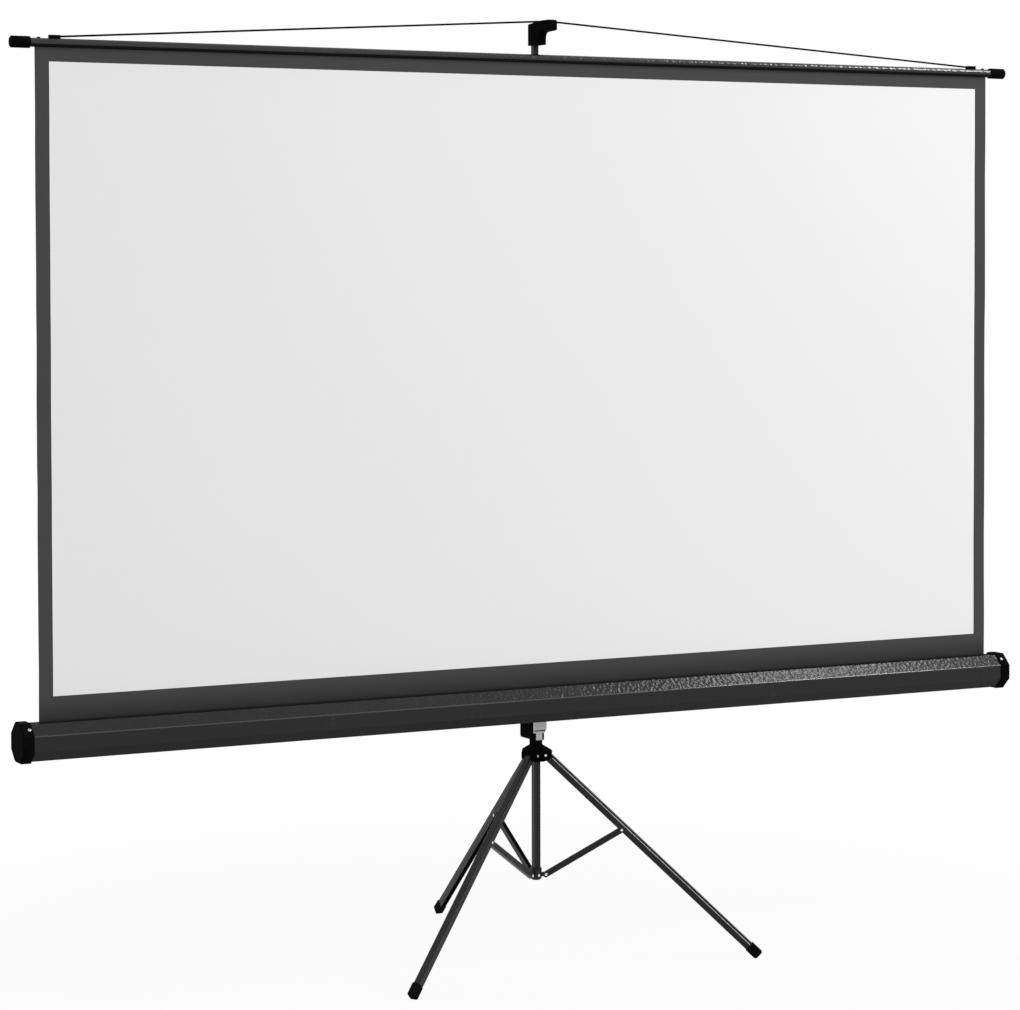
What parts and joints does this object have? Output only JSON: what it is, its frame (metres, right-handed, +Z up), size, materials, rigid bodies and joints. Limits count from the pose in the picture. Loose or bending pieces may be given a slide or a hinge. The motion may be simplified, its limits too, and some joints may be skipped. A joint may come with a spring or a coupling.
{
  "type": "tripod projection screen",
  "caption": "Pull-up projection screen with an eight-sided roller case on a folding tripod; a white sheet with a dark border hangs from a rail by a wire bail on a telescopic mast.",
  "frame": {"origin": "on the floor, at the middle of the bounding box", "axes": "+X along the screen's width, to the right as the screen is seen from its front, +Z up; the screen faces -Y"},
  "size_m": [2.372, 0.7308, 2.0018],
  "materials": {
    "charcoal_paint": "satin textured",
    "black_plastic": "matte moulded",
    "grey_lever": "satin",
    "bright_steel": "bright",
    "dark_wire": "satin",
    "foot_rubber": "matte",
    "screen_cloth": "matte white, dark border"
  },
  "bodies": {
    "mast": {"mast_tube": "charcoal_paint", "lower_hub": "black_plastic", "hub_rivet": "bright_steel", "mast_ferrule": "black_plastic"},
    "lock_knob": {"lock_knob": "black_plastic"},
    "crown": {"crown": "black_plastic", "crown_pins": "bright_steel"},
    "leg_front_right": {"leg_front_right": "charcoal_paint", "foot_front_right": "foot_rubber", "leg_rivet_front_right": "bright_steel"},
    "brace_front_right": {"brace_front_right": "charcoal_paint", "brace_pins_front_right": "bright_steel"},
    "leg_rear": {"leg_rear": "charcoal_paint", "foot_rear": "foot_rubber", "leg_rivet_rear": "bright_steel"},
    "brace_rear": {"brace_rear": "charcoal_paint", "brace_pins_rear": "bright_steel"},
    "leg_front_left": {"leg_front_left": "charcoal_paint", "foot_front_left": "foot_rubber", "leg_rivet_front_left": "bright_steel"},
    "brace_front_left": {"brace_front_left": "charcoal_paint", "brace_pins_front_left": "bright_steel"},
    "carriage": {"carriage": "black_plastic", "case_shell": "charcoal_paint", "end_cap_left": "black_plastic", "end_cap_right": "black_plastic", "end_cap_screws": "bright_steel", "swivel_plate": "charcoal_paint", "swivel_bolt": "bright_steel", "case_backplate": "charcoal_paint", "latch_pin": "bright_steel", "latch_spring": "bright_steel", "axle_left": "bright_steel", "axle_right": "bright_steel", "roller_spring": "bright_steel", "screen_fabric": "screen_cloth"},
    "latch": {"latch_lever": "grey_lever"},
    "roller": {"roller_tube": "bright_steel", "fabric_roll": "screen_cloth", "roller_plug_left": "black_plastic", "roller_plug_right": "black_plastic"},
    "extension": {"extension_tube": "charcoal_paint", "extension_plug": "black_plastic", "hook_head": "black_plastic", "hook_pin": "bright_steel", "bail_wire": "dark_wire", "bail_clips": "dark_wire", "rail_tube": "charcoal_paint", "rail_cap_left": "black_plastic", "rail_cap_right": "black_plastic", "rail_rivets": "bright_steel", "fabric_spline": "black_plastic"}
  },
  "joints": [
    {"name": "tripod_fold", "type": "slide", "parent": "mast", "child": "crown", "axis": [0, 0, 1], "range_m": [0, 0.15946]},
    {"name": "height", "type": "slide", "parent": "crown", "child": "carriage", "axis": [0, 0, 1], "range_m": [0, 0.25]},
    {"name": "extension", "type": "slide", "parent": "carriage", "child": "extension", "axis": [0, 0, 1], "range_m": [-0.6, 0], "deforming": ["screen_fabric"]},
    {"name": "roller_turn", "type": "hinge", "parent": "carriage", "child": "roller", "pos_m": [0, -0.17457, 0.551], "axis": [1, 0, 0], "range_deg": [-1746, 0]},
    {"name": "latch_press", "type": "hinge", "parent": "carriage", "child": "latch", "pos_m": [0, -0.13007, 0.474], "axis": [-1, 0, 0], "range_deg": [0, 7], "stiffness_Nm_per_rad": 1, "springref_deg": -3.44, "deforming": ["latch_spring"]},
    {"name": "lock_pull", "type": "slide", "parent": "mast", "child": "lock_knob", "axis": [0, 1, 0], "range_m": [0, 0.004], "stiffness_N_per_m": 800, "springref_m": -0.003},
    {"name": "leg_front_right_fold", "type": "hinge", "parent": "crown", "child": "leg_front_right", "pos_m": [0.01853, -0.12827, 0.4344], "axis": [0.5, 0.866, 0], "range_deg": [0, 44.1]},
    {"name": "brace_front_right_fold", "type": "hinge", "parent": "leg_front_right", "child": "brace_front_right", "pos_m": [0.1593, -0.20955, 0.27298], "axis": [0.5, 0.866, 0], "range_deg": [-101.62, 0]},
    {"name": "leg_rear_fold", "type": "hinge", "parent": "crown", "child": "leg_rear", "pos_m": [0, -0.09617, 0.4344], "axis": [-1, 0, 0], "range_deg": [0, 44.1]},
    {"name": "brace_rear_fold", "type": "hinge", "parent": "leg_rear", "child": "brace_rear", "pos_m": [0, 0.06637, 0.27298], "axis": [-1, 0, 0], "range_deg": [-101.62, 0]},
    {"name": "leg_front_left_fold", "type": "hinge", "parent": "crown", "child": "leg_front_left", "pos_m": [-0.01853, -0.12827, 0.4344], "axis": [0.5, -0.866, 0], "range_deg": [0, 44.1]},
    {"name": "brace_front_left_fold", "type": "hinge", "parent": "leg_front_left", "child": "brace_front_left", "pos_m": [-0.1593, -0.20955, 0.27298], "axis": [0.5, -0.866, 0], "range_deg": [-101.62, 0]}
  ],
  "couplings": [
    {"joint": "roller_turn", "follows": "extension", "rad_per_m": 50.761},
    {"joint": "leg_front_right_fold", "follows": "tripod_fold", "rad_per_m": 4.8159},
    {"joint": "brace_front_right_fold", "follows": "tripod_fold", "rad_per_m": -11.112},
    {"joint": "leg_rear_fold", "follows": "tripod_fold", "rad_per_m": 4.8159},
    {"joint": "brace_rear_fold", "follows": "tripod_fold", "rad_per_m": -11.112},
    {"joint": "leg_front_left_fold", "follows": "tripod_fold", "rad_per_m": 4.8159},
    {"joint": "brace_front_left_fold", "follows": "tripod_fold", "rad_per_m": -11.112}
  ]
}
